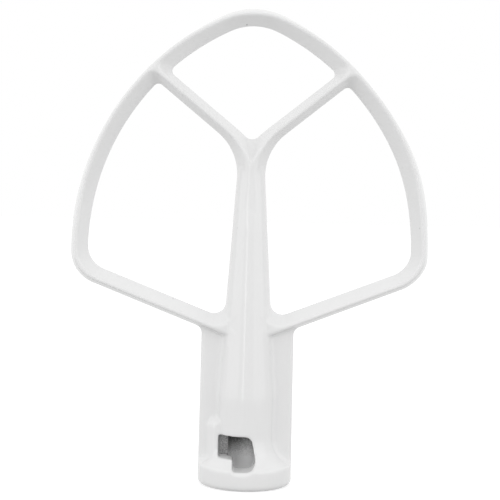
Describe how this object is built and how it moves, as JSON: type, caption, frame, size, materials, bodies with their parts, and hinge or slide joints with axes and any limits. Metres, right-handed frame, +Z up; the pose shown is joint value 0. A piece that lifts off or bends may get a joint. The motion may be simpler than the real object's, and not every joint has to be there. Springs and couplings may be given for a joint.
{
  "type": "stand mixer flat beater",
  "caption": "White coated cast flat beater with an arched open frame, Y-shaped upper arms, a tapered stem and a bayonet hub socket.",
  "frame": {"origin": "centre of the hub's end face, which is also the lowest level of the part", "axes": "+Z up the stem from the hub's mouth to the tip of the frame, +X across the frame, -Y the side with the bayonet window"},
  "size_m": [0.1346, 0.0354, 0.1788],
  "materials": {
    "coating": "smooth glossy white coating on cast aluminium, bare in the bore"
  },
  "bodies": {
    "root": {"flat_beater": "coating"}
  },
  "joints": []
}
